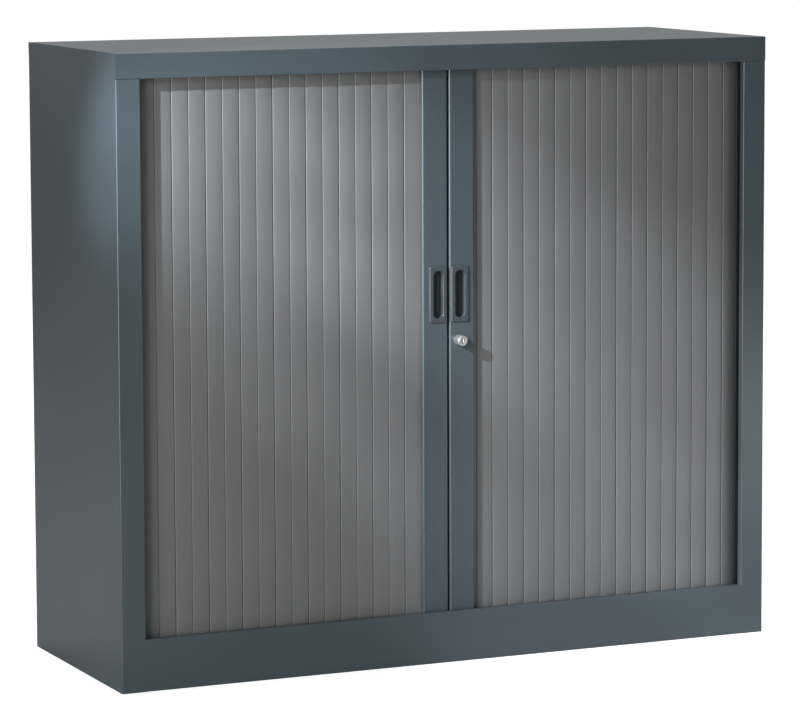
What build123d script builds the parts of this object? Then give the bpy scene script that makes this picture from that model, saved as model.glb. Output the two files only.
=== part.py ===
from build123d import *
import math
import os

os.makedirs("parts", exist_ok=True)

# Tambour-door office cupboard, in millimetres.
# +X is the viewer's right, +Y runs to the back, +Z is up.
# The origin is on the floor, under the middle of the cupboard.

# ---------------------------------------------------------------- casing sizes
WIDTH = 1200.0
DEPTH = 430.0
HEIGHT = 1050.0
SHEET = 1.0
STILE = 42.5            # face width of the folded front stiles
RAIL = 42.5             # height of the fascia over the opening
PLINTH = 87.0           # height of the front plinth
RETURN = 12.5           # inward return of stiles, fascia and plinth
BEND = 2.0              # outer bend radius of the casing sheets
TOP_BEND = 1.6          # outer bend radius along the top of the side panels
PLINTH_BEND = 1.5
PLINTH_HEM = 8.0
FLANGE = 20.0           # width of the hidden stiffening flanges
DECK_FLANGE = 20.0
BACK_RIB_LOW = 350.0
BACK_RIB_HIGH = 690.0
BACK_RIB_HALF = 520.0
BACK_RIB_DEEP = 12.0

HALF_W = WIDTH / 2
FRONT = -DEPTH / 2
BACK = DEPTH / 2
OPENING_X = HALF_W - STILE
OPENING_TOP = HEIGHT - RAIL
DECK_TOP = 74.0         # upper face of the base deck
CEILING = 1022.0        # lower face of the upper deck
ROOF = HEIGHT - SHEET   # lower face of the top panel
BACK_IN = BACK - 2 * SHEET

# ---------------------------------------------------------------- lining and shelf sizes
LINER_X = 566.0         # outer face of the side linings
LINER_FRONT = -158.0
LINER_BACK = 186.0
LINER_LIP = 15.0
FLOOR_TOP = PLINTH
SLOT_COLUMNS = (-120.0, 150.0)
SLOT_FIRST = 160.0
SLOT_PITCH = 32.0
SLOT_ROWS = 26
SLOT_WIDE = 12.0
SLOT_HIGH = 3.0
SHELF_TOPS = {"lower_shelf": 394.0, "upper_shelf": 702.0}
SHELF_HALF = 563.5
SHELF_FRONT = -152.0
SHELF_BACK = 182.0
SHELF_DEEP = 25.0
SHELF_HEM = 12.0
CLIP_HALF = 10.0
CLIP_REACH = 8.0
CLIP_DROP = 14.0
CLIP_THICK = 1.5

# ---------------------------------------------------------------- curtain and track sizes
PITCH = 29.74           # distance between slat hinges
SLAT_THICK = 8.0
SLAT_WALL = 1.3
SLAT_CROWN = 0.5
SLAT_SKEW = 1.9         # how far the back edges are cut away so that slats can fold
WIDE_GAP = 0.45         # half the open gap of a clip joint
FINE_GAP = 0.18         # half the groove of a film hinge
STIFF_BEND = math.radians(0.5)
CURTAIN_Y = -183.0      # middle of the curtain on the front run
CORNER_X = 540.0        # where the front run enters the corner bend
CORNER_R = 48.0
REAR_R = 45.0
REAR_Y = 205.0          # middle of the curtain on the back run
SIDE_RUN = REAR_Y - REAR_R - CURTAIN_Y - CORNER_R
TRACK_NOSE = 1.0        # half the gap between the left and right tracks
TRACK_TAIL = 410.0      # where the track ends on the back run
GROOVE_OUT = 5.0        # groove room outside and inside the curtain's middle
GROOVE_IN = 6.8
TRACK_WALL = 2.0
TRACK_HIGH = 10.0
TRACK_FLOOR = 2.0
SLAT_FOOT = DECK_TOP + TRACK_FLOOR + 0.3
SLAT_TOP = CEILING - 5.0
DOOR_TRAVEL = 470.0
SIDES = {"left": -1, "right": 1}
FIRST_HINGE = {"left": 76.9, "right": 57.1}
SLAT_COUNT = {"left": 17, "right": 18}
FIRST_WIDE = {"left": 0, "right": 1}

# ---------------------------------------------------------------- leading bar, handle and lock sizes
BAR_IN = 1.5            # half the gap between the closed bars
BAR_OUT = 48.5
BAR_FACE = -197.0
BAR_REAR = -176.0
BAR_LIP = 9.5
BAR_WALL = 1.2
BAR_BEND = 3.5
BAR_FOOT = 85.5
BAR_TOP = 1009.0
BAR_BACKING = BAR_FACE + BAR_WALL
SLAT_FACE = CURTAIN_Y - SLAT_THICK / 2
SLAT_REAR = CURTAIN_Y + SLAT_THICK / 2
EDGE_START = {"left": 33.0, "right": 31.5}
RIB_WIDE = 8.0
HANDLE_X = 20.25
HANDLE_Z = 628.0
HANDLE_WIDE = 32.5
HANDLE_HIGH = 96.0
HANDLE_PROUD = 3.0
RIM_CHAMFER = 1.0
GRIP_WIDE = 16.0
GRIP_HIGH = 79.0
CUP_WALL = 2.0
CUP_SLACK = 0.3
CUP_REAR = -180.5
GLIDE_IN = 8.0
GLIDE_OUT = 27.0
GLIDE_PLUG = 25.0
LOCK_X = 18.0
LOCK_Z = 549.5
BARREL_R = 8.75
BARREL_REAR = -192.5
BARREL_SLACK = 0.4
NOSE_CHAMFER = 0.8
CORE_R = 5.9
CORE_DEEP = 18.0
CORE_SUNK = 0.2
KEY_THICK = 2.0
KEY_HIGH = 7.5
KEY_DEEP = 9.0
FIT = 0.08              # radial clearance of sliding and turning fits
HOUSING_R = 11.5
HOUSING_REAR = -181.5
PIN_R = 3.5
PIN_SLACK = 1.0
PIN_REAR = -181.0
TONGUE_THICK = 1.6
TONGUE_HIGH = 24.0
TONGUE_REACH = 28.0
SLOT_SLACK = 3.0

# ---------------------------------------------------------------- levelling foot sizes
FOOT_X = 530.0
FOOT_Y = 160.0
PAD_R = 20.0
PAD_HIGH = 8.0
PAD_LIFT = 0.5
PAD_CHAMFER = 1.5
STUD_R = 3.95
STUD_SEAT = 5.0
STUD_TOP = 71.0
HEX_R = 8.0
HEX_HIGH = 6.0
BLOCK_SIDE = 40.0
BLOCK_HIGH = 30.0

# Profiles of UPRIGHT sheets are drawn as (x, y) and rise along Z.
# Profiles of ACROSS sheets are drawn as (y, z) and run along X.
UPRIGHT = Plane.XY
ACROSS = Plane(origin=(0, 0, 0), x_dir=(0, 1, 0), z_dir=(1, 0, 0))


def block(x0, x1, y0, y1, z0, z1):
    """A box between two corners."""
    size = Box(abs(x1 - x0), abs(y1 - y0), abs(z1 - z0))
    return Pos((x0 + x1) / 2, (y0 + y1) / 2, (z0 + z1) / 2) * size


def rod(radius, y0, y1, x, z):
    """A round bar along Y."""
    return Pos(x, (y0 + y1) / 2, z) * Rot(90, 0, 0) * Cylinder(radius, abs(y1 - y0))


def post(radius, z0, z1, x, y):
    """A round bar along Z."""
    return Pos(x, y, (z0 + z1) / 2) * Cylinder(radius, z1 - z0)


def folded(points, radius, plane, start, end, thick=SHEET):
    """A folded sheet: an outline thickened to the right of its direction, and drawn from start to end."""
    with BuildSketch(Plane.XY) as profile:
        with BuildLine():
            FilletPolyline(*points, radius=radius)
            offset(amount=thick, side=Side.RIGHT)
        make_face()
    return plane * (Pos(0, 0, start) * extrude(profile.sketch, end - start))


def handed(shape, side):
    """Paired pieces are drawn for the right-hand side, and the left one is the mirror image."""
    return shape if side == "right" else mirror(shape, Plane.YZ)


def save(shape, node):
    export_step(shape, f"parts/{node}.step")


# ---------------------------------------------------------------- casing
def side_panel():
    outline = [
        (HALF_W - FLANGE, BACK),
        (HALF_W, BACK),
        (HALF_W, FRONT),
        (OPENING_X, FRONT),
        (OPENING_X, FRONT + RETURN),
    ]
    wall = folded(outline, BEND, UPRIGHT, 0, ROOF)
    lip = FRONT + RETURN
    wall -= block(OPENING_X - SHEET, HALF_W, FRONT, lip + SHEET, OPENING_TOP, ROOF)
    wall += block(HALF_W - SHEET, HALF_W, FRONT + BEND, lip + SHEET, OPENING_TOP, ROOF)
    wall -= block(OPENING_X, OPENING_X + SHEET + BEND, FRONT, lip, 0, PLINTH)
    wall += block(OPENING_X, OPENING_X + SHEET + BEND, FRONT, FRONT + SHEET, 0, PLINTH)
    wall -= block(HALF_W - FLANGE, HALF_W, BACK - BEND, BACK, HEIGHT - FLANGE, ROOF)
    for z in (0, ROOF - SHEET):
        wall += block(HALF_W - FLANGE, HALF_W - SHEET, lip, BACK - BEND, z, z + SHEET)
    top_edge = wall.edges().filter_by(Axis.Y).sort_by(lambda e: e.center().X + e.center().Z)[-1]
    return fillet(top_edge, TOP_BEND)


def top_panel():
    outline = [
        (FRONT + RETURN, OPENING_TOP),
        (FRONT, OPENING_TOP),
        (FRONT, HEIGHT),
        (BACK, HEIGHT),
        (BACK, HEIGHT - FLANGE),
    ]
    lid = folded(outline, BEND, ACROSS, -HALF_W, HALF_W)
    low = OPENING_TOP
    for side in SIDES:
        corner = block(HALF_W - SHEET, HALF_W, FRONT + BEND, FRONT + RETURN, low, low + SHEET)
        lid -= handed(corner, side)
    return lid


def front_plinth():
    outline = [
        (FRONT + RETURN, 0),
        (FRONT, 0),
        (FRONT, PLINTH),
        (FRONT + RETURN, PLINTH),
        (FRONT + RETURN, PLINTH - PLINTH_HEM),
    ]
    return folded(outline, PLINTH_BEND, ACROSS, -OPENING_X, OPENING_X)


def deck(top, drop):
    """A horizontal tray with flanges front and rear; drop is negative where the flanges stand up."""
    low = min(top - SHEET, top - SHEET - drop)
    high = max(top, top - drop)
    half = HALF_W - BEND
    tray = block(-half, half, FRONT + SHEET, BACK_IN, top - SHEET, top)
    for y in (FRONT + SHEET, BACK_IN - SHEET):
        tray += block(-half, half, y, y + SHEET, low, high)
    return tray


def back_panel():
    panel = block(-HALF_W + 2 * SHEET, HALF_W - 2 * SHEET, BACK_IN, BACK_IN + SHEET, SHEET, ROOF - SHEET)
    for z in (BACK_RIB_LOW, BACK_RIB_HIGH):
        panel += block(-BACK_RIB_HALF, BACK_RIB_HALF, BACK_IN + SHEET, BACK, z, z + BACK_RIB_DEEP)
    return panel


# ---------------------------------------------------------------- lining, floor and shelves
def liner():
    inside = LINER_X - SHEET
    panel = block(inside, LINER_X, LINER_FRONT, LINER_BACK - SHEET, DECK_TOP, CEILING)
    panel += block(LINER_X - LINER_LIP, inside, LINER_FRONT, LINER_FRONT + SHEET, DECK_TOP, CEILING)
    with BuildPart() as slots:
        for y in SLOT_COLUMNS:
            for row in range(SLOT_ROWS):
                with Locations((LINER_X - SHEET / 2, y, SLOT_FIRST + row * SLOT_PITCH)):
                    Box(2 * SHEET, SLOT_WIDE, SLOT_HIGH)
    return panel - slots.part


def inner_back():
    return block(-LINER_X, LINER_X, LINER_BACK - SHEET, LINER_BACK, DECK_TOP, CEILING)


def floor_panel():
    half = LINER_X - SHEET
    rear = LINER_BACK - SHEET
    front = LINER_FRONT + SHEET
    tray = block(-half, half, front, rear, FLOOR_TOP - SHEET, FLOOR_TOP)
    for y in (front, rear - SHEET):
        tray += block(-half, half, y, y + SHEET, DECK_TOP, FLOOR_TOP)
    return tray


def shelf(top):
    low = top - SHELF_DEEP
    tray = block(-SHELF_HALF, SHELF_HALF, SHELF_FRONT, SHELF_BACK, top - SHEET, top)
    for y, inward in ((SHELF_FRONT, 1), (SHELF_BACK, -1)):
        tray += block(-SHELF_HALF, SHELF_HALF, y, y + inward * SHEET, low, top)
        tray += block(-SHELF_HALF, SHELF_HALF, y, y + inward * SHELF_HEM, low, low + SHEET)
    for x, inward in ((-SHELF_HALF, 1), (SHELF_HALF, -1)):
        tray += block(x, x + inward * SHEET, SHELF_FRONT, SHELF_BACK, low, top)
    return tray


def shelf_clips():
    """Hooks that hang in the lining's slots and carry the ends of the shelves."""
    clips = []
    for top in SHELF_TOPS.values():
        seat = top - SHELF_DEEP
        for side in SIDES.values():
            for y in SLOT_COLUMNS:
                wall = side * (LINER_X - SHEET)
                edge = side * (SHELF_HALF - CLIP_REACH)
                leg = block(wall, wall - side * SHEET, y - CLIP_HALF, y + CLIP_HALF, seat - CLIP_DROP, seat)
                leg += block(wall, edge, y - CLIP_HALF, y + CLIP_HALF, seat - CLIP_THICK, seat)
                clips.append(leg)
    return Compound(children=clips)


# ---------------------------------------------------------------- curtain track
def track_band(outside, inside, low, high, trim=0.0):
    """The strip between two offsets of the track's middle line, front run to back run, as a solid."""
    side_x = CORNER_X + CORNER_R
    corner_y = CURTAIN_Y + CORNER_R
    rear_x = side_x - REAR_R
    rear_y = REAR_Y - REAR_R
    band = block(TRACK_NOSE - trim, CORNER_X, CURTAIN_Y - outside, CURTAIN_Y + inside, low, high)
    band += block(side_x - inside, side_x + outside, corner_y, rear_y, low, high)
    band += block(TRACK_TAIL - trim, rear_x, REAR_Y - inside, REAR_Y + outside, low, high)
    for x, y, radius, turn in ((CORNER_X, corner_y, CORNER_R, -90), (rear_x, rear_y, REAR_R, 0)):
        ring = Pos(x, y, low) * extrude(bend_face(radius + outside, radius - inside, turn), high - low)
        band += ring
    return band


def bend_face(outer, inner, turn):
    """A quarter of a ring, from the given angle anticlockwise."""
    quarter = make_face(
        Polyline((inner, 0), (outer, 0))
        + CenterArc((0, 0), outer, 0, 90)
        + Polyline((0, outer), (0, inner))
        + CenterArc((0, 0), inner, 0, 90)
    )
    return Rot(0, 0, turn) * quarter


def track(floor, mouth):
    """A channel whose groove opens towards the mouth: up for the bottom track, down for the top one."""
    low, high = min(floor, mouth), max(floor, mouth)
    base = floor + math.copysign(TRACK_FLOOR, mouth - floor)
    channel = track_band(GROOVE_OUT + TRACK_WALL, GROOVE_IN + TRACK_WALL, low, high)
    over = mouth + math.copysign(SHEET, mouth - floor)
    groove = track_band(GROOVE_OUT, GROOVE_IN, min(base, over), max(base, over), SHEET)
    return channel - groove


# ---------------------------------------------------------------- curtain
def track_point(s):
    """A point of the track's middle line, s measured along it from the cupboard's middle."""
    corner_end = CORNER_X + CORNER_R * math.pi / 2
    side_end = corner_end + SIDE_RUN
    rear_end = side_end + REAR_R * math.pi / 2
    if s < CORNER_X:
        return s, CURTAIN_Y
    if s < corner_end:
        turn = (s - CORNER_X) / CORNER_R
        return CORNER_X + CORNER_R * math.sin(turn), CURTAIN_Y + CORNER_R * (1 - math.cos(turn))
    if s < side_end:
        return CORNER_X + CORNER_R, CURTAIN_Y + CORNER_R + s - corner_end
    if s < rear_end:
        turn = (s - side_end) / REAR_R
        return CORNER_X + CORNER_R - REAR_R * (1 - math.cos(turn)), REAR_Y - REAR_R * (1 - math.sin(turn))
    return CORNER_X + CORNER_R - REAR_R - (s - rear_end), REAR_Y


def next_hinge(s):
    """One slat further along the track: the chord between the two hinges is one pitch."""
    near, far = s + PITCH, s + 1.2 * PITCH
    while far - near > 1e-9:
        middle = (near + far) / 2
        chord = math.dist(track_point(s), track_point(middle))
        near, far = (middle, far) if chord < PITCH else (near, middle)
    return far


def hinges(side, travel):
    """Hinge points and slat directions in radians, with the door moved by travel.

    Entry 0 is the edge slat's.
    """
    places = [FIRST_HINGE[side] + travel]
    for _ in range(SLAT_COUNT[side]):
        places.append(next_hinge(places[-1]))
    points = [track_point(s) for s in places]
    headings = [0.0]
    for (x0, y0), (x1, y1) in zip(points, points[1:]):
        headings.append(math.atan2(y1 - y0, x1 - x0))
    return points, headings


def slat_runs(side):
    """Runs of slats that never bend against each other, whether the door is shut or open."""
    shut = hinges(side, 0)[1]
    wide = hinges(side, DOOR_TRAVEL)[1]
    runs = []
    for slat in range(1, SLAT_COUNT[side] + 1):
        bend_shut = shut[slat] - shut[slat - 1]
        bend_wide = wide[slat] - wide[slat - 1]
        change = math.remainder(bend_wide - bend_shut, 2 * math.pi)
        if abs(change) > STIFF_BEND or not runs:
            runs.append([slat])
        else:
            runs[-1].append(slat)
    return runs


def joint_gap(side, hinge):
    """Clip joints with an open gap and film hinges with a fine groove take turns."""
    return WIDE_GAP if hinge % 2 == FIRST_WIDE[side] else FINE_GAP


def slat(side, number):
    """Slat number n hangs between hinge n-1 and hinge n; hollow, crowned in front, cut back behind."""
    points, headings = hinges(side, 0)
    start = joint_gap(side, number - 1)
    end = PITCH - joint_gap(side, number)
    half = SLAT_THICK / 2
    edge = half - SLAT_CROWN
    rear = (PITCH - SLAT_SKEW, half), (SLAT_SKEW, half)
    outline = make_face(
        ThreePointArc((start, -edge), (PITCH / 2, -half), (end, -edge))
        + Polyline((end, -edge), (end, 0), *rear, (start, 0), (start, -edge))
    )
    hollow = Pos(PITCH / 2, SLAT_CROWN / 2) * Rectangle(
        PITCH - 2 * (SLAT_SKEW + SLAT_WALL), SLAT_THICK - SLAT_CROWN - 2 * SLAT_WALL
    )
    x, y = points[number - 1]
    turned = Pos(x, y, SLAT_FOOT) * Rot(0, 0, math.degrees(headings[number]))
    return handed(turned * extrude(outline - hollow, SLAT_TOP - SLAT_FOOT), side)


def edge_slat(side):
    """The first slat, held in the leading bar."""
    start = EDGE_START[side]
    end = FIRST_HINGE[side]
    shown = end - joint_gap(side, 0)
    edge = SLAT_FACE + SLAT_CROWN
    outline = make_face(
        Polyline(
            (start, SLAT_FACE),
            (BAR_OUT, SLAT_FACE),
            (shown, edge),
            (shown, CURTAIN_Y),
            (end - SLAT_SKEW, SLAT_REAR),
            (start, SLAT_REAR),
            (start, SLAT_FACE),
        )
    )
    return handed(Pos(0, 0, SLAT_FOOT) * extrude(outline, SLAT_TOP - SLAT_FOOT), side)


def run_name(side, run):
    return f"{side}_slats_{run[0]:02d}_{run[-1]:02d}" if len(run) > 1 else f"{side}_slat_{run[0]:02d}"


# ---------------------------------------------------------------- leading bars
def stadium(wide, high, y0, y1):
    """An upright slot-shaped solid at the handle's place, between two depths."""
    shape = SlotOverall(high, wide, rotation=90)
    return Pos(HANDLE_X, y1, HANDLE_Z) * Rot(90, 0, 0) * extrude(shape, y1 - y0)


def lead_bar(side):
    outline = [
        (BAR_OUT, SLAT_FACE - BAR_IN),
        (BAR_OUT, BAR_FACE),
        (BAR_IN, BAR_FACE),
        (BAR_IN, BAR_REAR),
        (BAR_LIP, BAR_REAR),
    ]
    bar = folded(outline, (BAR_BEND, BAR_BEND, BAR_IN), UPRIGHT, BAR_FOOT, BAR_TOP, BAR_WALL)
    rib_x = BAR_OUT - BAR_WALL - RIB_WIDE
    bar += block(rib_x, rib_x + RIB_WIDE, BAR_BACKING, SLAT_FACE, BAR_FOOT, BAR_TOP)
    cup = 2 * (CUP_WALL + CUP_SLACK)
    bar -= stadium(GRIP_WIDE + cup, GRIP_HIGH + cup, BAR_FACE - SHEET, BAR_BACKING + SHEET)
    slot_low = LOCK_Z - TONGUE_HIGH / 2
    slot_high = LOCK_Z + TONGUE_HIGH / 2
    tongue_face = BAR_REAR - BAR_WALL - TONGUE_THICK
    if side == "right":
        bar -= rod(BARREL_R + BARREL_SLACK, BAR_FACE - SHEET, BAR_BACKING + SHEET, LOCK_X, LOCK_Z)
        bar -= block(
            0, BAR_LIP + SHEET, tongue_face - SLOT_SLACK, 0, slot_low - SLOT_SLACK, slot_high + SLOT_SLACK
        )
    else:
        bar -= block(0, 2 * BAR_IN + BAR_WALL, tongue_face, BAR_REAR - BAR_WALL, slot_low, slot_high)
    return handed(bar, side)


def handle(side):
    """A recessed finger pull: a raised plate and a closed cup behind its slot."""
    plate_box = block(
        HANDLE_X - HANDLE_WIDE / 2,
        HANDLE_X + HANDLE_WIDE / 2,
        BAR_FACE - HANDLE_PROUD,
        BAR_FACE,
        HANDLE_Z - HANDLE_HIGH / 2,
        HANDLE_Z + HANDLE_HIGH / 2,
    )
    rim = plate_box.faces().sort_by(Axis.Y)[0].edges()
    pull = chamfer(rim, RIM_CHAMFER)
    pull += stadium(GRIP_WIDE + 2 * CUP_WALL, GRIP_HIGH + 2 * CUP_WALL, BAR_FACE, CUP_REAR)
    pull -= stadium(GRIP_WIDE, GRIP_HIGH, BAR_FACE - HANDLE_PROUD - SHEET, CUP_REAR - CUP_WALL)
    mouth = pull.faces().sort_by(Axis.Y)[0].inner_wires()[0].edges()
    return handed(chamfer(mouth, RIM_CHAMFER), side)


def bar_glides(side):
    """Plastic shoes plugged into the ends of the bar, with tongues that run in the tracks."""
    shoes = []
    for tip, end, inward in ((SLAT_FOOT, BAR_FOOT, 1), (SLAT_TOP, BAR_TOP, -1)):
        shoe = block(GLIDE_IN, GLIDE_OUT, SLAT_FACE, SLAT_REAR, tip, end + inward * SHEET)
        shoe += block(GLIDE_IN, GLIDE_OUT, BAR_BACKING, SLAT_REAR, end, end + inward * GLIDE_PLUG)
        shoes.append(handed(shoe, side))
    return Compound(children=shoes)


# ---------------------------------------------------------------- lock
def lock_barrel():
    barrel = rod(BARREL_R, FRONT, BARREL_REAR, LOCK_X, LOCK_Z)
    nose = barrel.faces().sort_by(Axis.Y)[0].edges()
    barrel = chamfer(nose, NOSE_CHAMFER)
    return barrel - rod(CORE_R + FIT, FRONT - SHEET, FRONT + CORE_DEEP, LOCK_X, LOCK_Z)


def lock_core():
    core = rod(CORE_R, FRONT + CORE_SUNK, FRONT + CORE_DEEP - CORE_SUNK, LOCK_X, LOCK_Z)
    keyway = block(
        LOCK_X - KEY_THICK / 2,
        LOCK_X + KEY_THICK / 2,
        FRONT,
        FRONT + KEY_DEEP,
        LOCK_Z - KEY_HIGH / 2,
        LOCK_Z + KEY_HIGH / 2,
    )
    return core - keyway


def lock_housing():
    tube = rod(HOUSING_R, BAR_BACKING, HOUSING_REAR, LOCK_X, LOCK_Z)
    return tube - rod(BARREL_R + FIT, BAR_BACKING - SHEET, HOUSING_REAR + SHEET, LOCK_X, LOCK_Z)


def lock_pin():
    return rod(PIN_R, BARREL_REAR, PIN_REAR, LOCK_X, LOCK_Z)


def strike_tongue():
    face = BAR_REAR - BAR_WALL - TONGUE_THICK
    low = LOCK_Z - TONGUE_HIGH / 2
    high = LOCK_Z + TONGUE_HIGH / 2
    tongue = block(-BAR_LIP, TONGUE_REACH, face, face + TONGUE_THICK, low, high)
    return tongue - rod(PIN_R + PIN_SLACK, face - SHEET, face + TONGUE_THICK + SHEET, LOCK_X, LOCK_Z)


# ---------------------------------------------------------------- levelling feet
def foot_places():
    for depth, y in (("front", -FOOT_Y), ("rear", FOOT_Y)):
        for side, sign in SIDES.items():
            yield f"{depth}_{side}", sign * FOOT_X, y


def foot_blocks():
    blocks = []
    half = BLOCK_SIDE / 2
    top = DECK_TOP - SHEET
    for _, x, y in foot_places():
        body = block(x - half, x + half, y - half, y + half, top - BLOCK_HIGH, top)
        blocks.append(body - post(STUD_R + FIT, top - 2 * BLOCK_HIGH, top + SHEET, x, y))
    return Compound(children=blocks)


def foot_pad(x, y):
    top = PAD_LIFT + PAD_HIGH
    pad = post(PAD_R, PAD_LIFT, top, x, y)
    pad = chamfer(pad.faces().sort_by(Axis.Z)[-1].edges(), PAD_CHAMFER)
    return pad - post(STUD_R + FIT, top - STUD_SEAT, top + SHEET, x, y)


def foot_stud(x, y):
    """A threaded stud, drawn at its outer diameter, with a hexagon to turn it by."""
    foot = PAD_LIFT + PAD_HIGH - STUD_SEAT
    stud = post(STUD_R, foot + SHEET / 2, STUD_TOP, x, y)
    nut = Pos(x, y, PAD_LIFT + PAD_HIGH + SHEET) * extrude(RegularPolygon(HEX_R, 6), HEX_HIGH)
    return stud + nut


# ---------------------------------------------------------------- build
def build_casing():
    for side in SIDES:
        save(handed(side_panel(), side), f"{side}_side_panel")
        save(handed(liner(), side), f"{side}_liner")
        save(handed(track(DECK_TOP, DECK_TOP + TRACK_HIGH), side), f"{side}_bottom_track")
        save(handed(track(CEILING, CEILING - TRACK_HIGH), side), f"{side}_top_track")
    save(top_panel(), "top_panel")
    save(front_plinth(), "front_plinth")
    save(deck(DECK_TOP, DECK_FLANGE), "base_deck")
    save(deck(CEILING + SHEET, -DECK_FLANGE), "upper_deck")
    save(back_panel(), "back_panel")
    save(inner_back(), "inner_back")
    save(floor_panel(), "floor_panel")
    for node, top in SHELF_TOPS.items():
        save(shelf(top), node)
    save(shelf_clips(), "shelf_clips")


def build_doors():
    for side in SIDES:
        save(lead_bar(side), f"{side}_lead_bar")
        save(edge_slat(side), f"{side}_edge_slat")
        save(handle(side), f"{side}_handle")
        save(bar_glides(side), f"{side}_bar_glides")
        for run in slat_runs(side):
            slats = [slat(side, number) for number in run]
            save(Compound(children=slats), run_name(side, run))


def build_lock():
    save(lock_barrel(), "lock_barrel")
    save(lock_core(), "lock_core")
    save(lock_housing(), "lock_housing")
    save(lock_pin(), "lock_pin")
    save(strike_tongue(), "strike_tongue")


def build_feet():
    save(foot_blocks(), "foot_blocks")
    for place, x, y in foot_places():
        save(foot_pad(x, y), f"{place}_foot_pad")
        save(foot_stud(x, y), f"{place}_foot_stud")


build_casing()
build_doors()
build_lock()
build_feet()
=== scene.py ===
import math

import bmesh
import bpy
from mathutils import Matrix, Vector


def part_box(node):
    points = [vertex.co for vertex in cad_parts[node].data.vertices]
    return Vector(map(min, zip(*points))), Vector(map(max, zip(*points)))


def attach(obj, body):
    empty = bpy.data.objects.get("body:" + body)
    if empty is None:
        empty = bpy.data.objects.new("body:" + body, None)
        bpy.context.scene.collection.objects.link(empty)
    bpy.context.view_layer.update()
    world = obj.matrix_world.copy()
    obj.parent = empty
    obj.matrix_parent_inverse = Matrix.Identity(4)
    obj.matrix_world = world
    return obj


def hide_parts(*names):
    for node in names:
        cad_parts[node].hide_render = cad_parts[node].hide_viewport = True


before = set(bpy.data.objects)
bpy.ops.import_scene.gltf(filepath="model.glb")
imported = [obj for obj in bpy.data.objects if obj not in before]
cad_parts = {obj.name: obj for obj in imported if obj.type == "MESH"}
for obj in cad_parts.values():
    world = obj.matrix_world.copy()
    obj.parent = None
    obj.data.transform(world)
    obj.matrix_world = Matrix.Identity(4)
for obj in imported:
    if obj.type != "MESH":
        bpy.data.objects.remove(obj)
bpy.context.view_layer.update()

MM = 0.001

# ---------------------------------------------------------------- camera, solved from the photo
CAMERA_PLACE = Vector((-2.7395, -6.0666, 1.3701))
CAMERA_TURN = math.radians(24.2937)
CAMERA_TILT = math.radians(-6.1156)
CAMERA_ROLL = math.radians(-0.2203)
SENSOR = 36.0
LENS = 173.68
SHIFT_Y = -0.12
CLIP_START = 0.1
CLIP_END = 100.0

# ---------------------------------------------------------------- curtain, as in the CAD source
PITCH = 29.74 * MM
SLAT_THICK = 8.0 * MM
SLAT_WALL = 1.3 * MM
SLAT_SKEW = 1.9 * MM
SLAT_FOOT = 76.3 * MM
SLAT_TOP = 1017.0 * MM
WIDE_GAP = 0.45 * MM
FINE_GAP = 0.18 * MM
CURTAIN_Y = -183.0 * MM
CORNER_X = 540.0 * MM
CORNER_R = 48.0 * MM
REAR_R = 45.0 * MM
REAR_Y = 205.0 * MM
SIDE_RUN = REAR_Y - REAR_R - CURTAIN_Y - CORNER_R
SIDES = {"left": -1, "right": 1}
FIRST_HINGE = {"left": 76.9 * MM, "right": 57.1 * MM}
EDGE_START = {"left": 33.0 * MM, "right": 31.5 * MM}
SLAT_COUNT = {"left": 17, "right": 18}
FIRST_WIDE = {"left": 0, "right": 1}
BAR_OUT = 48.5 * MM

# In the CAD the crown is 0.5 mm. The rounds, the lean and the beads are in the scene only.
SLAT_CROWN = 1.0 * MM
SLAT_ROUND = 1.4 * MM
SLAT_LEAN = 0.25 * MM
BEAD_R = 1.1 * MM
BEAD_BACK = 0.9 * MM

# ---------------------------------------------------------------- handles, as in the CAD source
BAR_FACE = -197.0 * MM
HANDLE_X = 20.25 * MM
HANDLE_Z = 628.0 * MM
HANDLE_WIDE = 32.5 * MM
HANDLE_HIGH = 96.0 * MM
HANDLE_FRONT = -200.0 * MM
CUP_REAR = -180.5 * MM

# The slot is 1.5 mm wider and higher than in the CAD and the cup's wall 0.75 mm thinner, so that the
# cup's outside is the same. The CAD has 1 mm chamfers where these rounds are, and square corners.
GRIP_WIDE = 17.5 * MM
GRIP_HIGH = 80.5 * MM
CUP_WALL = 1.25 * MM
CUP_FILLET = 2.5 * MM
HANDLE_CORNER = 3.0 * MM
RIM = 2.0 * MM
GRIP_RIM = 1.3 * MM

# ---------------------------------------------------------------- lock, as in the CAD source
LOCK_X = 18.0 * MM
LOCK_Z = 549.5 * MM
LOCK_FRONT = -215.0 * MM
BARREL_R = 8.75 * MM
BARREL_REAR = -192.5 * MM
CORE_R = 5.9 * MM
BORE_R = 5.98 * MM
CORE_FRONT = -214.8 * MM
CORE_REAR = -197.2 * MM
BORE_END = -197.0 * MM
KEY_THICK = 2.0 * MM
KEY_HIGH = 7.5 * MM
KEY_DEEP = 9.0 * MM

# The CAD has a 0.8 mm chamfer on the nose. The groove and the other rounds are in the scene only.
NOSE_ROUND = 0.9 * MM
GROOVE_DEEP = 0.9 * MM
GROOVE_TOP = 0.72 * MM
GROOVE_FOOT = 0.63 * MM
CORE_EDGE = 0.4 * MM
KEY_ROUND = 0.6 * MM
KEY_LIP = 0.25 * MM

# ---------------------------------------------------------------- levelling feet, as in the CAD source
STUD_R = 3.95 * MM
STUD_FOOT = 4.0 * MM
STUD_TOP = 71.0 * MM
HEX_R = 8.0 * MM
HEX_LOW = 9.5 * MM
HEX_TOP = 15.5 * MM
HEX_SIDES = 6

# The chamfer and the thread are in the scene only. Crest and root are shares of one pitch.
HEX_CHAMFER = 0.8 * MM
THREAD_PITCH = 1.25 * MM
THREAD_DEEP = 0.65 * MM
CREST_START = 0.45
CREST_END = 0.55
ROOT_START = 0.98

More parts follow.
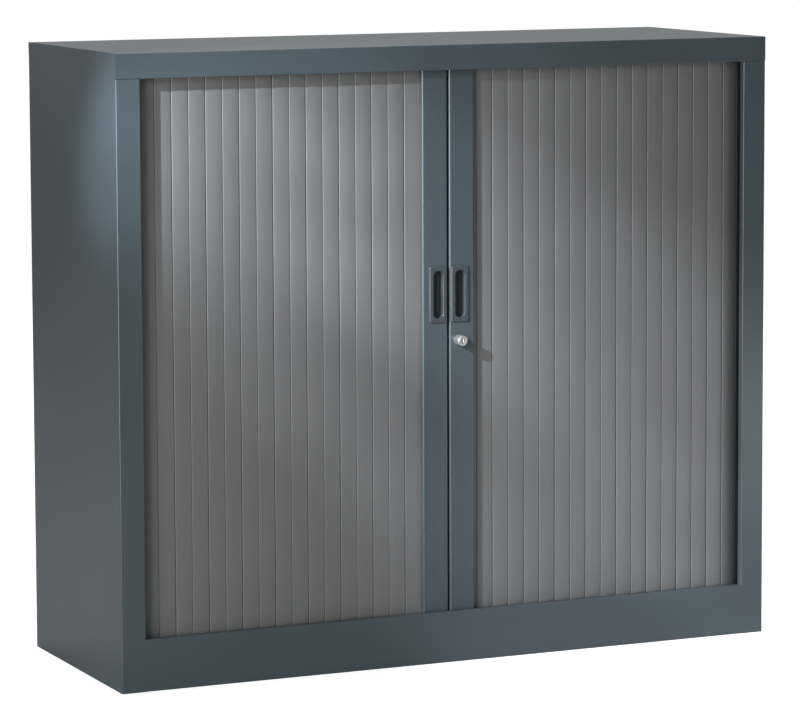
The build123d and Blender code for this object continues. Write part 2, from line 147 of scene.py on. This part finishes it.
# ---------------------------------------------------------------- edges and fineness
SHEET_ROUND = 0.3 * MM
BAR_ROUND = 0.25 * MM
WELD_DISTANCE = 0.001 * MM
BEVEL_ANGLE = math.radians(35)
BEVEL_SEGMENTS = 2
SHARP_ANGLE = math.radians(40)
ARC_STEPS = 4
CROWN_STEPS = 8
BEAD_STEPS = 11
BEAD_END = 330
CORNER_STEPS = 7
QUARTER_STEPS = 5
ROUND_STEPS = 48
STUD_STEPS = 24

# The search for the next hinge: how many pitches away it may stand, and how often the range is halved.
LONGEST_STEP = 1.2
SEARCH_STEPS = 50

# ---------------------------------------------------------------- light and floor
AMBIENT = 0.17
MIRRORED_AMBIENT = 0.46
BEAM_PLACE = (-2.55, -1.41, 2.00)
BEAM_RADIUS = 0.03
BEAM_COLOR = (0.98, 1.0, 1.09)
# The target, the power in watts and the cone in degrees of each spot.
BEAMS = {
    "beam_left": ((-0.50, -0.19, 0.85), 225.0, 10.0),
    "beam_top": ((-0.25, -0.19, 0.85), 172.0, 10.0),
    "beam_middle": ((0.15, -0.19, 0.62), 520.0, 10.0),
    "beam_low": ((-0.05, -0.19, 0.45), 235.0, 10.0),
    "beam_foot": ((0.60, -0.20, 0.15), 56.0, 10.0),
    "beam_plinth": ((0.60, -0.20, 0.10), 500.0, 6.0),
    "beam_kick": ((0.30, -0.215, 0.00), 440.0, 9.0),
    "beam_edge": ((-0.62, -0.20, 0.90), 225.0, 7.0),
    "beam_fascia": ((-0.35, -0.215, 1.02), 320.0, 7.0),
    "beam_fascia_middle": ((0.00, -0.215, 1.01), 200.0, 6.0),
    "beam_corner": ((-0.62, -0.215, 0.98), 120.0, 5.0),
}
FLOOR_HALF = 30.0
FLOOR_TONE = 0.62
FLOOR_ROUGHNESS = 0.9
# How far from the middle the floor's glow starts and stops to rise, and its levels there.
GLOW_START = 2.0
GLOW_END = 6.0
GLOW_LOW = 0.74
GLOW_HIGH = 0.93

# ---------------------------------------------------------------- node helpers
NOISE_LOW = 0.3
NOISE_HIGH = 0.7


def material_base(name):
    material = bpy.data.materials.new(name)
    material.use_nodes = True
    tree = material.node_tree
    return material, tree, tree.nodes["Principled BSDF"]


def add(tree, kind, **inputs):
    """A new node, with its inputs set by name; an underscore stands for a space."""
    node = tree.nodes.new(kind)
    for key, value in inputs.items():
        node.inputs[key.replace("_", " ")].default_value = value
    return node


def object_coordinates(tree, scale=(1, 1, 1)):
    coordinates = tree.nodes.new("ShaderNodeTexCoord")
    mapping = tree.nodes.new("ShaderNodeMapping")
    mapping.inputs["Scale"].default_value = scale
    tree.links.new(coordinates.outputs["Object"], mapping.inputs["Vector"])
    return mapping.outputs["Vector"]


def noise(tree, vector, scale, detail, rough=0.5):
    node = add(tree, "ShaderNodeTexNoise", Scale=scale, Detail=detail, Roughness=rough)
    tree.links.new(vector, node.inputs["Vector"])
    return node.outputs["Fac"]


def spread(tree, value, low, high):
    """Noise values turned into a narrow range."""
    limits = {"From_Min": NOISE_LOW, "From_Max": NOISE_HIGH, "To_Min": low, "To_Max": high}
    node = add(tree, "ShaderNodeMapRange", **limits)
    tree.links.new(value, node.inputs["Value"])
    return node.outputs["Result"]


def two_tone(tree, value, dark, light):
    node = tree.nodes.new("ShaderNodeMix")
    node.data_type = "RGBA"
    node.inputs["A"].default_value = (*dark, 1)
    node.inputs["B"].default_value = (*light, 1)
    tree.links.new(value, node.inputs["Factor"])
    return node.outputs["Result"]


def bump(tree, height, strength, distance):
    node = add(tree, "ShaderNodeBump", Strength=strength, Distance=distance)
    tree.links.new(height, node.inputs["Height"])
    return node.outputs["Normal"]


# ---------------------------------------------------------------- materials
def textured(name, color, tones, clouds, grain, sheen, relief, stretch=(1, 1, 1), metallic=0.0):
    """
    A surface whose colour drifts in soft clouds, and whose roughness and bumps follow a finer grain.

    tones are shares of the colour, clouds and grain settings of noise, sheen the range of roughness,
    relief the settings of the bump, and stretch the scale of the grain along x, y and z.
    """
    material, tree, shader = material_base(name)
    drift = spread(tree, noise(tree, object_coordinates(tree), **clouds), 0.0, 1.0)
    marks = noise(tree, object_coordinates(tree, stretch), **grain)
    dark, light = [tuple(share * part for part in color) for share in tones]
    tree.links.new(two_tone(tree, drift, dark, light), shader.inputs["Base Color"])
    tree.links.new(spread(tree, marks, *sheen), shader.inputs["Roughness"])
    tree.links.new(bump(tree, marks, **relief), shader.inputs["Normal"])
    shader.inputs["Metallic"].default_value = metallic
    return material


def powder_coat(name, color, roughness):
    """Satin powder coat on steel: a fine orange peel, and faint clouds in the colour."""
    return textured(
        name, color, tones=(0.96, 1.04),
        clouds={"scale": 4.0, "detail": 3.0},
        grain={"scale": 420.0, "detail": 3.0, "rough": 0.6},
        sheen=(roughness - 0.01, roughness + 0.01),
        relief={"strength": 0.02, "distance": 0.2 * MM},
    )


def slat_plastic(name, color):
    """Matt extruded plastic, with faint die lines along each slat."""
    return textured(
        name, color, tones=(0.97, 1.03),
        clouds={"scale": 6.0, "detail": 3.0},
        grain={"scale": 900.0, "detail": 3.0, "rough": 0.6},
        sheen=(0.36, 0.42),
        relief={"strength": 0.10, "distance": 0.1 * MM},
        stretch=(1, 1, 0.01),
    )


def moulded_plastic(name, color, roughness):
    """Injection-moulded plastic with a fine spark-eroded grain."""
    return textured(
        name, color, tones=(0.94, 1.06),
        clouds={"scale": 60.0, "detail": 2.0},
        grain={"scale": 2200.0, "detail": 2.0, "rough": 0.6},
        sheen=(roughness - 0.04, roughness + 0.04),
        relief={"strength": 0.12, "distance": 0.1 * MM},
    )


def metal(name, color, roughness):
    """Plated metal with fine machining marks."""
    return textured(
        name, color, tones=(0.92, 1.0),
        clouds={"scale": 90.0, "detail": 2.0},
        grain={"scale": 1500.0, "detail": 3.0, "rough": 0.6},
        sheen=(roughness - 0.04, roughness + 0.06),
        relief={"strength": 0.06, "distance": 0.1 * MM},
        metallic=1.0,
    )


def make_materials():
    """The materials by slot; satin_chrome is a duller chrome for the lock's sleeve only."""
    return {
        "casing_paint": powder_coat("casing_coat", (0.0505, 0.070, 0.081), 0.31),
        "lining_paint": powder_coat("lining_coat", (0.050, 0.062, 0.070), 0.50),
        "bar_paint": powder_coat("bar_coat", (0.0505, 0.070, 0.081), 0.28),
        "handle_plastic": moulded_plastic("handle_plastic_look", (0.040, 0.053, 0.062), 0.27),
        "slat_plastic": slat_plastic("slat_plastic_look", (0.130, 0.132, 0.132)),
        "track_plastic": moulded_plastic("track_plastic_look", (0.010, 0.011, 0.012), 0.45),
        "glide_plastic": moulded_plastic("glide_plastic_look", (0.010, 0.010, 0.011), 0.45),
        "lock_chrome": metal("lock_chrome_look", (0.60, 0.61, 0.62), 0.27),
        "satin_chrome": metal("satin_chrome_look", (0.62, 0.63, 0.64), 0.50),
        "zinc_steel": metal("zinc_steel_look", (0.60, 0.61, 0.62), 0.34),
        "foot_plastic": moulded_plastic("foot_plastic_look", (0.012, 0.012, 0.013), 0.5),
    }


def dress_cad_nodes(materials):
    """Each slot of a CAD node gets the material of the slot's own name."""
    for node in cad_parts.values():
        for held in node.material_slots:
            held.material = materials[held.material.name.split(".")[0]]


# ---------------------------------------------------------------- mesh helpers
def link_object(name, data):
    made = bpy.data.objects.new(name, data)
    bpy.context.scene.collection.objects.link(made)
    return made


def make_piece(name, bm, material, body, slot, *nodes):
    """A finished piece that rides on a body and stands in for CAD nodes."""
    bmesh.ops.recalc_face_normals(bm, faces=bm.faces)
    mesh = bpy.data.meshes.new(name)
    bm.to_mesh(mesh)
    bm.free()
    mesh.shade_smooth()
    mesh.set_sharp_from_angle(angle=SHARP_ANGLE)
    mesh.materials.append(material)
    piece = link_object(name, mesh)
    piece.modifiers.new("weighted", "WEIGHTED_NORMAL").keep_sharp = True
    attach(piece, body)
    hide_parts(*nodes)


def around(ring):
    """The neighbouring pairs of a closed ring."""
    return list(zip(ring, ring[1:] + ring[:1]))


def add_skin(bm, near, far):
    """A band of faces between two rings of equal length."""
    for (a, b), (c, d) in zip(around(near), around(far)):
        bm.faces.new((a, b, d, c))


def add_prism(bm, loops):
    """A solid as high as the curtain; the first loop is the outside, the rest are hollows."""
    rims = {SLAT_FOOT: [], SLAT_TOP: []}
    for loop in loops:
        rings = []
        for z, rim in rims.items():
            ring = [bm.verts.new((x, y, z)) for x, y in loop]
            rim += [bm.edges.new(pair) for pair in around(ring)]
            rings.append(ring)
        add_skin(bm, *rings)
    for rim in rims.values():
        bmesh.ops.triangle_fill(bm, use_beauty=True, edges=rim)


def join_rings(bm, rings, place):
    """A closed skin through rings of equal length, capped at both ends."""
    rows = [[bm.verts.new(place(a, b, depth)) for a, b in ring] for ring, depth in rings]
    for near, far in zip(rows, rows[1:]):
        add_skin(bm, near, far)
    bm.faces.new(rows[0])
    bm.faces.new(rows[-1])
    bmesh.ops.remove_doubles(bm, verts=bm.verts, dist=WELD_DISTANCE)


def facing(x, z):
    """Places rings upright round a point of the front, stacked along y."""
    def place(a, b, depth):
        return x + a, depth, z + b
    return place


def standing(x, y):
    """Places rings flat round an upright axis, stacked along z."""
    def place(a, b, height):
        return x + a, y + b, height
    return place


def arc(x, y, radius, start, end, steps=ARC_STEPS):
    """Points of an arc between two angles in degrees."""
    turns = [math.radians(start + (end - start) * i / steps) for i in range(steps + 1)]
    return [(x + radius * math.cos(t), y + radius * math.sin(t)) for t in turns]


def circle(radius, steps):
    turns = [math.tau * i / steps for i in range(steps)]
    return [(radius * math.cos(t), radius * math.sin(t)) for t in turns]


def rounded_ring(wide, high, radius):
    """A rounded rectangle round the origin; a radius of half the width makes a slot."""
    points = []
    reach_x, reach_z = wide / 2 - radius, high / 2 - radius
    for sx, sz, start in ((1, 1, 0), (-1, 1, 90), (-1, -1, 180), (1, -1, 270)):
        points += arc(sx * reach_x, sz * reach_z, radius, start, start + 90, CORNER_STEPS)
    return points


def quarter_round(size):
    """Steps of a quarter round: how far in and how far down at each, from the side to the face."""
    turns = [math.radians(90 * i / QUARTER_STEPS) for i in range(QUARTER_STEPS + 1)]
    return [(size * (1 - math.cos(t)), size * (1 - math.sin(t))) for t in turns]


# ---------------------------------------------------------------- curtain
def track_point(s):
    """A point of the track's middle line on the right-hand side, s measured along it."""
    corner_end = CORNER_X + CORNER_R * math.pi / 2
    side_end = corner_end + SIDE_RUN
    if s < CORNER_X:
        return s, CURTAIN_Y
    if s < corner_end:
        turn = (s - CORNER_X) / CORNER_R
        return CORNER_X + CORNER_R * math.sin(turn), CURTAIN_Y + CORNER_R * (1 - math.cos(turn))
    if s < side_end:
        return CORNER_X + CORNER_R, CURTAIN_Y + CORNER_R + s - corner_end
    turn = (s - side_end) / REAR_R
    return CORNER_X + CORNER_R - REAR_R * (1 - math.cos(turn)), REAR_Y - REAR_R * (1 - math.sin(turn))


def next_hinge(s):
    """Where along the track the next hinge stands, one pitch away in a straight line."""
    near, far = s + PITCH, s + LONGEST_STEP * PITCH
    for _ in range(SEARCH_STEPS):
        middle = (near + far) / 2
        chord = math.dist(track_point(s), track_point(middle))
        near, far = (middle, far) if chord < PITCH else (near, middle)
    return far


def hinge_points(side):
    places = [FIRST_HINGE[side]]
    for _ in range(SLAT_COUNT[side]):
        places.append(next_hinge(places[-1]))
    return [track_point(s) for s in places]


def is_wide(side, hinge):
    """Wide and fine joints take turns along the curtain."""
    return hinge % 2 == FIRST_WIDE[side]


def gap(side, hinge):
    return WIDE_GAP if is_wide(side, hinge) else FINE_GAP


def bead(x, y):
    """The hinge bead between two slats."""
    return arc(x, y, BEAD_R, 0, BEAD_END, BEAD_STEPS)


def face_points(start, end, front_start, front_end):
    """The crowned front of a slat between two edges, with its edges rounded."""
    points = arc(start + SLAT_ROUND, front_start + SLAT_ROUND, SLAT_ROUND, 180, 270)
    wide = end - start - 2 * SLAT_ROUND
    for i in range(1, CROWN_STEPS):
        part = i / CROWN_STEPS
        crown = SLAT_CROWN * 4 * part * (1 - part)
        level = front_start + (front_end - front_start) * part
        points.append((start + SLAT_ROUND + wide * part, level - crown))
    return points + arc(end - SLAT_ROUND, front_end + SLAT_ROUND, SLAT_ROUND, 270, 360)


def slat_profile(side, number):
    """Slat number n in its own frame: along x from hinge n-1 to hinge n, the front at -y."""
    start, end = gap(side, number - 1), PITCH - gap(side, number)
    half = SLAT_THICK / 2
    edge = -(half - SLAT_CROWN)
    leans = (SLAT_LEAN, 0.0) if is_wide(side, number - 1) else (0.0, SLAT_LEAN)
    outline = face_points(start, end, edge + leans[0], edge + leans[1])
    outline += [(end, 0.0), (PITCH - SLAT_SKEW, half), (SLAT_SKEW, half), (start, 0.0)]
    inner = SLAT_SKEW + SLAT_WALL
    front, rear = edge + SLAT_WALL, half - SLAT_WALL
    hollow = [(inner, front), (PITCH - inner, front), (PITCH - inner, rear), (inner, rear)]
    return outline, hollow


def placed(points, origin, heading, sign):
    """Points turned and moved onto the track, and mirrored for the left-hand curtain."""
    c, s = math.cos(heading), math.sin(heading)
    x0, y0 = origin
    return [(sign * (x0 + x * c - y * s), y0 + x * s + y * c) for x, y in points]


def add_slat(bm, side, number, hinges):
    """One slat with the bead at its far hinge."""
    near, far = hinges[number - 1], hinges[number]
    heading = math.atan2(far[1] - near[1], far[0] - near[0])
    for loops in (slat_profile(side, number), [bead(PITCH, BEAD_BACK)]):
        add_prism(bm, [placed(loop, near, heading, SIDES[side]) for loop in loops])


def slat_groups(side):
    """Each curtain node, with the numbers of its first and last slat read from its name."""
    groups = []
    for name in sorted(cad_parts):
        if name.startswith(f"{side}_slat"):
            numbers = [int(part) for part in name.split("_") if part.isdigit()]
            groups.append((name, numbers[0], numbers[-1]))
    return groups


def build_slats(material):
    for side in SIDES:
        hinges = hinge_points(side)
        for name, first, last in slat_groups(side):
            bm = bmesh.new()
            for number in range(first, last + 1):
                add_slat(bm, side, number, hinges)
            make_piece(f"{name}_look", bm, material, name, "slat_plastic", name)


def build_edge_slats(material):
    """The slats that the leading bars hold, each with the first hinge's bead."""
    for side, sign in SIDES.items():
        start, end = EDGE_START[side], FIRST_HINGE[side]
        shown = end - gap(side, 0)
        front, rear = CURTAIN_Y - SLAT_THICK / 2, CURTAIN_Y + SLAT_THICK / 2
        outline = [(start, front), (BAR_OUT, front)]
        outline += arc(shown - SLAT_ROUND, front + SLAT_CROWN + SLAT_ROUND, SLAT_ROUND, 270, 360)
        outline += [(shown, CURTAIN_Y), (end - SLAT_SKEW, rear), (start, rear)]
        bm = bmesh.new()
        for loop in (outline, bead(end, CURTAIN_Y + BEAD_BACK)):
            add_prism(bm, [[(sign * x, y) for x, y in loop]])
        node = f"{side}_edge_slat"
        make_piece(f"{node}_look", bm, material, f"{side}_door", "slat_plastic", node)


# ---------------------------------------------------------------- handles
def plate_ring(inset):
    wide, high = HANDLE_WIDE - 2 * inset, HANDLE_HIGH - 2 * inset
    return rounded_ring(wide, high, HANDLE_CORNER - inset)


def grip_ring(grown):
    """The slot's outline, grown all round or, below zero, shrunk."""
    wide, high = GRIP_WIDE + 2 * grown, GRIP_HIGH + 2 * grown
    return rounded_ring(wide, high, wide / 2)


def handle_rings():
    """From the back of the cup to the plate, over its face, and down inside to the cup's floor."""
    floor = CUP_REAR - CUP_WALL
    rings = [(grip_ring(CUP_WALL), y) for y in (CUP_REAR, BAR_FACE)]
    rings.append((plate_ring(0.0), BAR_FACE))
    for inset, down in quarter_round(RIM):
        rings.append((plate_ring(inset), HANDLE_FRONT + down))
    for inset, down in reversed(quarter_round(GRIP_RIM)):
        rings.append((grip_ring(inset), HANDLE_FRONT + down))
    for inset, down in quarter_round(CUP_FILLET):
        rings.append((grip_ring(-inset), floor - down))
    return rings


def build_handles(material):
    for side, sign in SIDES.items():
        bm = bmesh.new()
        join_rings(bm, handle_rings(), facing(sign * HANDLE_X, HANDLE_Z))
        node = f"{side}_handle"
        make_piece(f"{node}_look", bm, material, f"{side}_door", "handle_plastic", node)


# ---------------------------------------------------------------- lock
def build_barrel(material):
    """The lock's sleeve, with a rounded nose and a shallow groove round the core."""
    profile = [(BARREL_R, BARREL_REAR)]
    profile += [(BARREL_R - inset, LOCK_FRONT + down) for inset, down in quarter_round(NOSE_ROUND)]
    profile += [(BORE_R + GROOVE_TOP, LOCK_FRONT), (BORE_R + GROOVE_FOOT, LOCK_FRONT + GROOVE_DEEP)]
    profile += [(BORE_R, LOCK_FRONT + GROOVE_DEEP), (BORE_R, BORE_END)]
    bm = bmesh.new()
    join_rings(bm, [(circle(r, ROUND_STEPS), y) for r, y in profile], facing(LOCK_X, LOCK_Z))
    make_piece("lock_barrel_look", bm, material, "lock_barrel", "lock_chrome", "lock_barrel")


def core_ring(radius):
    """A circle with as many points as the keyway's ring."""
    return rounded_ring(2 * radius, 2 * radius, radius)


def key_ring(grown):
    return rounded_ring(KEY_THICK + 2 * grown, KEY_HIGH + 2 * grown, KEY_ROUND + grown)


def build_core(material):
    """The turning core, with its keyway."""
    rings = [(core_ring(CORE_R), CORE_REAR)]
    for inset, down in quarter_round(CORE_EDGE):
        rings.append((core_ring(CORE_R - inset), CORE_FRONT + down))
    rings.append((key_ring(KEY_LIP), CORE_FRONT))
    for y in (CORE_FRONT + KEY_LIP, LOCK_FRONT + KEY_DEEP):
        rings.append((key_ring(0.0), y))
    bm = bmesh.new()
    join_rings(bm, rings, facing(LOCK_X, LOCK_Z))
    make_piece("lock_core_look", bm, material, "lock_core", "lock_chrome", "lock_core")


# ---------------------------------------------------------------- levelling feet
def thread_rings():
    """The threaded rod, from its foot to the last whole turn."""
    root = STUD_R - THREAD_DEEP
    profile = [(root, STUD_FOOT)]
    for turn in range(int((STUD_TOP - STUD_FOOT) / THREAD_PITCH)):
        base = STUD_FOOT + turn * THREAD_PITCH
        profile += [(STUD_R, base + part * THREAD_PITCH) for part in (CREST_START, CREST_END)]
        profile.append((root, base + ROOT_START * THREAD_PITCH))
    return [(circle(r, STUD_STEPS), z) for r, z in profile]


def hexagon_rings():
    """The chamfered hexagon that the stud is turned by."""
    small = HEX_R - HEX_CHAMFER
    profile = [(small, HEX_LOW), (HEX_R, HEX_LOW + HEX_CHAMFER)]
    profile += [(HEX_R, HEX_TOP - HEX_CHAMFER), (small, HEX_TOP)]
    return [(circle(r, HEX_SIDES), z) for r, z in profile]


def build_studs(material):
    for name in sorted(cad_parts):
        if name.endswith("_foot_stud"):
            low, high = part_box(name)
            place = standing((low.x + high.x) / 2, (low.y + high.y) / 2)
            bm = bmesh.new()
            join_rings(bm, thread_rings(), place)
            join_rings(bm, hexagon_rings(), place)
            make_piece(f"{name}_look", bm, material, name, "zinc_steel", name)


# ---------------------------------------------------------------- CAD nodes that are carried over
def soften(name, width):
    """A small round on the sharp edges of a CAD node, by modifiers only."""
    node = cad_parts[name]
    node.modifiers.new("weld", "WELD").merge_threshold = WELD_DISTANCE
    bevel = node.modifiers.new("bevel", "BEVEL")
    bevel.width = width
    bevel.segments = BEVEL_SEGMENTS
    bevel.limit_method = "ANGLE"
    bevel.angle_limit = BEVEL_ANGLE
    node.modifiers.new("weighted", "WEIGHTED_NORMAL").keep_sharp = True


def soften_all():
    for name in ("left_side_panel", "right_side_panel", "top_panel", "front_plinth"):
        soften(name, SHEET_ROUND)
    for name in ("left_lead_bar", "right_lead_bar", "lower_shelf", "upper_shelf"):
        soften(name, BAR_ROUND)


# ---------------------------------------------------------------- camera
def make_camera():
    data = bpy.data.cameras.new("camera")
    data.sensor_width = SENSOR
    data.lens = LENS
    data.shift_y = SHIFT_Y
    data.clip_start, data.clip_end = CLIP_START, CLIP_END
    camera = link_object("camera", data)
    turn, tilt, roll = CAMERA_TURN, CAMERA_TILT, CAMERA_ROLL
    flat = math.cos(tilt)
    ahead = Vector((math.sin(turn) * flat, math.cos(turn) * flat, math.sin(tilt)))
    level = Vector((math.cos(turn), -math.sin(turn), 0))
    above = level.cross(ahead)
    across = level * math.cos(roll) + above * math.sin(roll)
    upward = above * math.cos(roll) - level * math.sin(roll)
    axes = Matrix((across, upward, -ahead)).transposed()
    camera.matrix_world = Matrix.Translation(CAMERA_PLACE) @ axes.to_4x4()
    bpy.context.scene.camera = camera


# ---------------------------------------------------------------- light
def make_world():
    """White to camera and transmission rays, and softer levels for lighting and for reflections."""
    world = bpy.data.worlds.new("studio")
    bpy.context.scene.world = world
    world.use_nodes = True
    tree = world.node_tree
    back = tree.nodes["Background"]
    back.inputs["Color"].default_value = (1, 1, 1, 1)
    rays = tree.nodes.new("ShaderNodeLightPath")
    reflected = add(tree, "ShaderNodeMapRange", To_Min=AMBIENT, To_Max=MIRRORED_AMBIENT)
    tree.links.new(rays.outputs["Is Glossy Ray"], reflected.inputs["Value"])
    seen = tree.nodes.new("ShaderNodeMath")
    seen.operation = "MAXIMUM"
    tree.links.new(rays.outputs["Is Camera Ray"], seen.inputs[0])
    tree.links.new(rays.outputs["Is Transmission Ray"], seen.inputs[1])
    strength = add(tree, "ShaderNodeMapRange", To_Max=1.0)
    tree.links.new(reflected.outputs["Result"], strength.inputs["To Min"])
    tree.links.new(seen.outputs[0], strength.inputs["Value"])
    tree.links.new(strength.outputs["Result"], back.inputs["Strength"])


def aim(lamp, place, target):
    lamp.location = place
    lamp.rotation_mode = "QUATERNION"
    lamp.rotation_quaternion = (Vector(target) - Vector(place)).to_track_quat("-Z", "Y")


def make_beam(name, target, power, cone):
    """One of the narrow spots that stand in one place and make up the photo's beam."""
    data = bpy.data.lights.new(name, "SPOT")
    data.energy = power
    data.spot_size = math.radians(cone)
    data.spot_blend = 1.0
    data.shadow_soft_size = BEAM_RADIUS
    data.color = BEAM_COLOR
    aim(link_object(name, data), BEAM_PLACE, target)


def make_softbox(name, place, target, size, power, mirrored=True, lights_matt=True):
    data = bpy.data.lights.new(name, "AREA")
    data.shape = "RECTANGLE"
    data.size, data.size_y = size
    data.energy = power
    lamp = link_object(name, data)
    lamp.visible_glossy = mirrored
    lamp.visible_diffuse = lights_matt
    aim(lamp, place, target)


def make_lights():
    make_world()
    for name, (target, power, cone) in BEAMS.items():
        make_beam(name, target, power, cone)
    front = (0, -0.2, 0.6)
    make_softbox("left_box", (-3.2, -2.6, 1.05), front, (1.9, 2.0), 104.0)
    make_softbox("high_left_box", (-2.45, -3.2, 2.2), front, (1.2, 1.2), 22.0)
    make_softbox("top_box", (0.0, 0.5, 3.6), (0, 0, 0.5), (2.0, 2.0), 35.0)
    strip_aim = (0, -0.2, 0.55)
    make_softbox("left_strip", (-2.9, -1.6, 0.55), strip_aim, (0.4, 1.2), 45.0, lights_matt=False)
    make_softbox("low_box", (1.4, -1.6, 0.12), (0.6, -0.2, 0.1), (1.0, 0.2), 3.0)
    make_softbox("rear_box", (1.6, 4.2, 2.2), (0.2, 0.2, 0.5), (2.0, 2.0), 60.0, mirrored=False)
    side = (0.6, 0.1, 0.5)
    make_softbox("right_side_box", (4.2, 1.2, 1.4), side, (1.6, 1.6), 50.0, mirrored=False)


# ---------------------------------------------------------------- floor
def floor_material():
    """Pale and matt, and white to the camera by a glow that also clips the object's shadow to white."""
    material, tree, shader = material_base("floor_look")
    shader.inputs["Base Color"].default_value = (FLOOR_TONE, FLOOR_TONE, FLOOR_TONE, 1)
    shader.inputs["Roughness"].default_value = FLOOR_ROUGHNESS
    shader.inputs["Specular IOR Level"].default_value = 0.0
    shader.inputs["Emission Color"].default_value = (1, 1, 1, 1)
    rays = tree.nodes.new("ShaderNodeLightPath")
    coordinates = tree.nodes.new("ShaderNodeTexCoord")
    away = tree.nodes.new("ShaderNodeVectorMath")
    away.operation = "LENGTH"
    tree.links.new(coordinates.outputs["Object"], away.inputs[0])
    limits = {"From_Min": GLOW_START, "From_Max": GLOW_END, "To_Min": GLOW_LOW, "To_Max": GLOW_HIGH}
    level = add(tree, "ShaderNodeMapRange", **limits)
    tree.links.new(away.outputs["Value"], level.inputs["Value"])
    glow = tree.nodes.new("ShaderNodeMapRange")
    tree.links.new(level.outputs["Result"], glow.inputs["To Max"])
    tree.links.new(rays.outputs["Is Camera Ray"], glow.inputs["Value"])
    tree.links.new(glow.outputs["Result"], shader.inputs["Emission Strength"])
    return material


def make_floor():
    material = floor_material()
    mesh = bpy.data.meshes.new("floor")
    corners = ((-1, -1), (1, -1), (1, 1), (-1, 1))
    mesh.from_pydata([(FLOOR_HALF * x, FLOOR_HALF * y, 0) for x, y in corners], [], [(0, 1, 2, 3)])
    mesh.materials.append(material)
    floor = link_object("floor", mesh)


def set_view():
    view = bpy.context.scene.view_settings
    view.view_transform = "Standard"


materials = make_materials()
dress_cad_nodes(materials)
build_slats(materials["slat_plastic"])
build_edge_slats(materials["slat_plastic"])
build_handles(materials["handle_plastic"])
build_barrel(materials["satin_chrome"])
build_core(materials["lock_chrome"])
build_studs(materials["zinc_steel"])
soften_all()
make_camera()
make_lights()
make_floor()
set_view()
